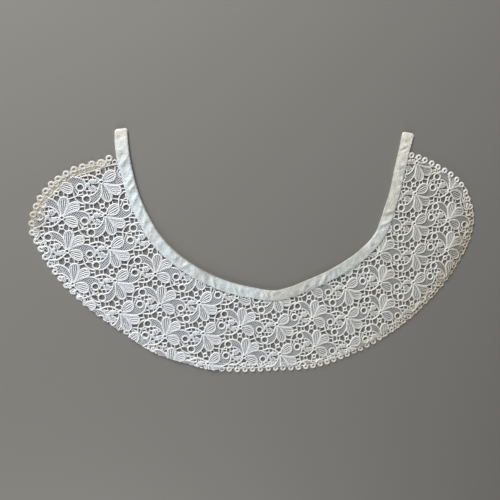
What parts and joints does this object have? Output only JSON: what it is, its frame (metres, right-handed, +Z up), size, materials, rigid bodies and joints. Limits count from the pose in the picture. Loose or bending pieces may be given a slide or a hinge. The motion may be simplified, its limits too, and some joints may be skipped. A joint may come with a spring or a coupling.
{
  "type": "lace collar",
  "caption": "Crescent collar of flowered guipure lace laid flat, with a folded satin neck binding and an edging of small worked rings.",
  "frame": {"origin": "middle of the collar's box in plan, on the surface that it lies on", "axes": "+X along the collar from its left arm to its right arm, +Y towards the open side of the neck, +Z up, away from the surface"},
  "size_m": [0.4182, 0.2456, 0.0024],
  "materials": {
    "guipure": "matt white cotton embroidery",
    "edging": "matt cream cotton embroidery",
    "satin": "soft satin sheen"
  },
  "bodies": {
    "root": {"lace_body": "guipure", "ring_edging": "edging", "neck_binding": "satin"}
  },
  "joints": []
}
